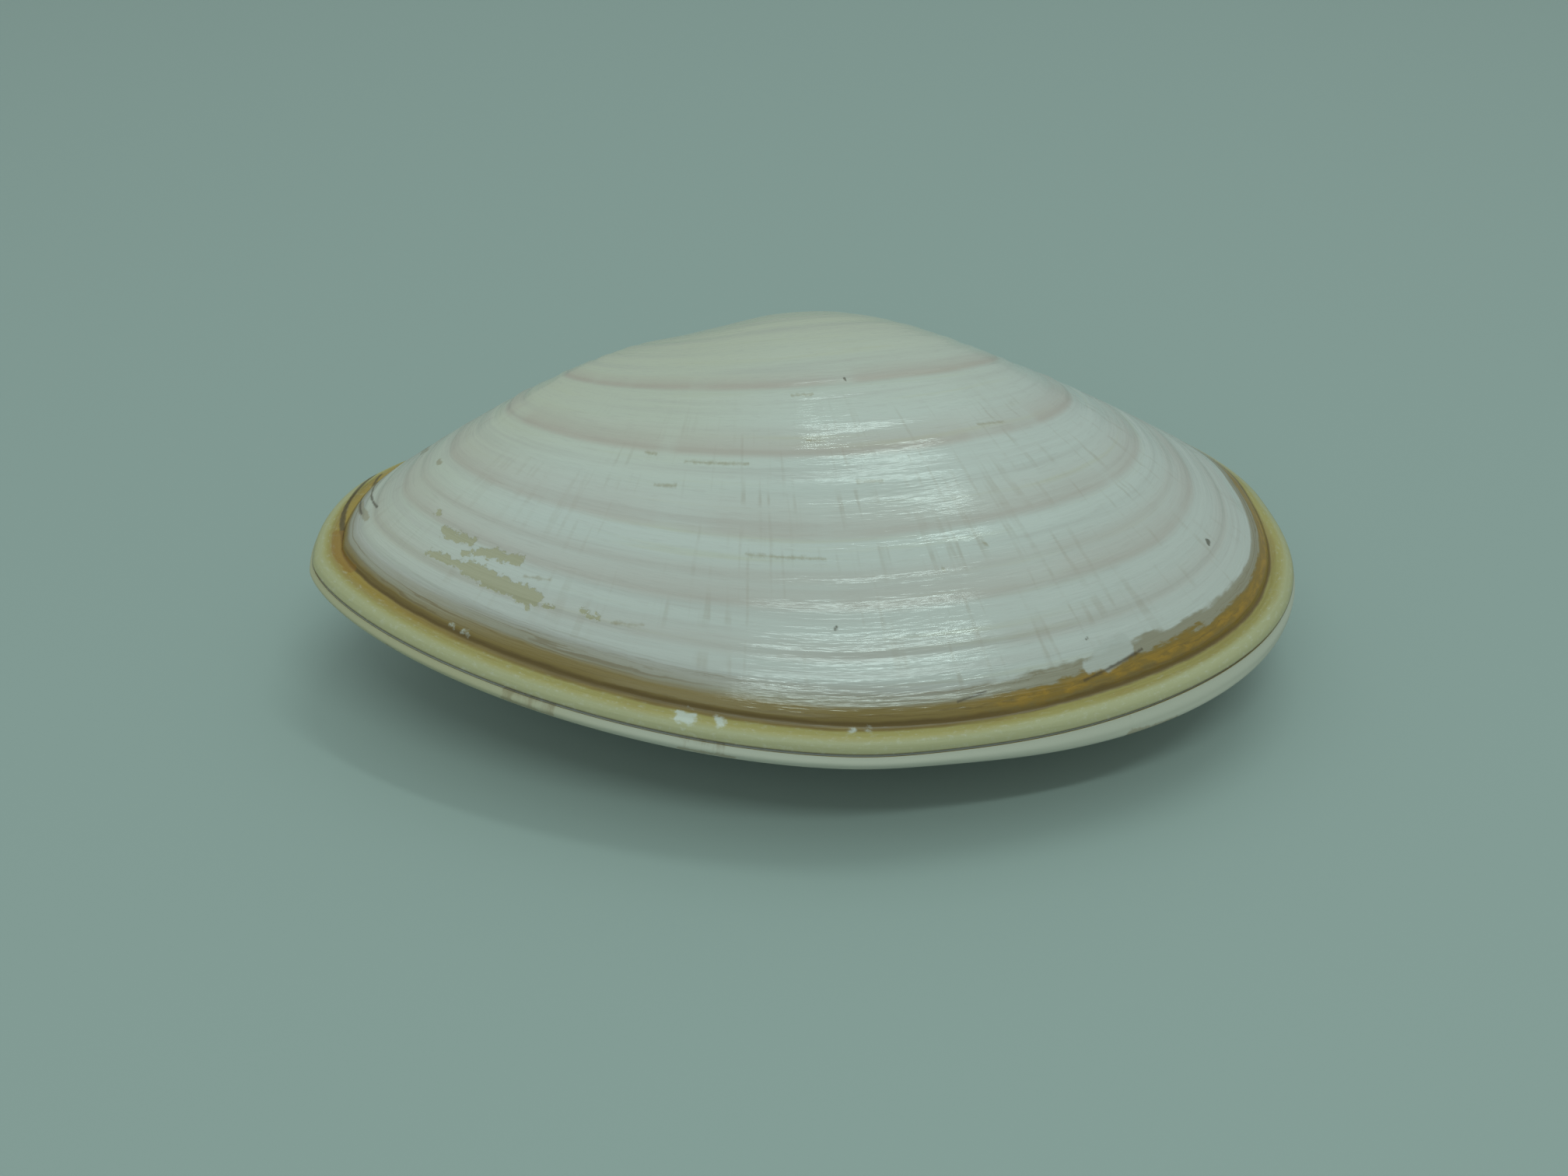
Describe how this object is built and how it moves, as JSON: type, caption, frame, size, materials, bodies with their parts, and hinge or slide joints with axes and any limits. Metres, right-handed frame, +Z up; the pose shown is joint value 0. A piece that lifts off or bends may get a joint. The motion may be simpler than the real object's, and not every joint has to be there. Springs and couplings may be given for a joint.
{
  "type": "tellin shell",
  "caption": "Closed oval tellin shell lying on its lower valve, with fine growth lines, a white dome and a brown-stained rolled margin.",
  "frame": {"origin": "on the resting surface, under the middle of the shell's box", "axes": "+Z up, +X along the shell to its rounded anterior end, +Y to the beak and hinge"},
  "size_m": [0.0852, 0.0538, 0.0252],
  "materials": {
    "shell": "chalky white shell with a satin sheen and a brown and yellow margin",
    "ligament": "dark brown horny band with a dull sheen"
  },
  "bodies": {
    "root": {"upper_valve": "shell", "lower_valve": "shell", "ligament": "ligament"}
  },
  "joints": []
}
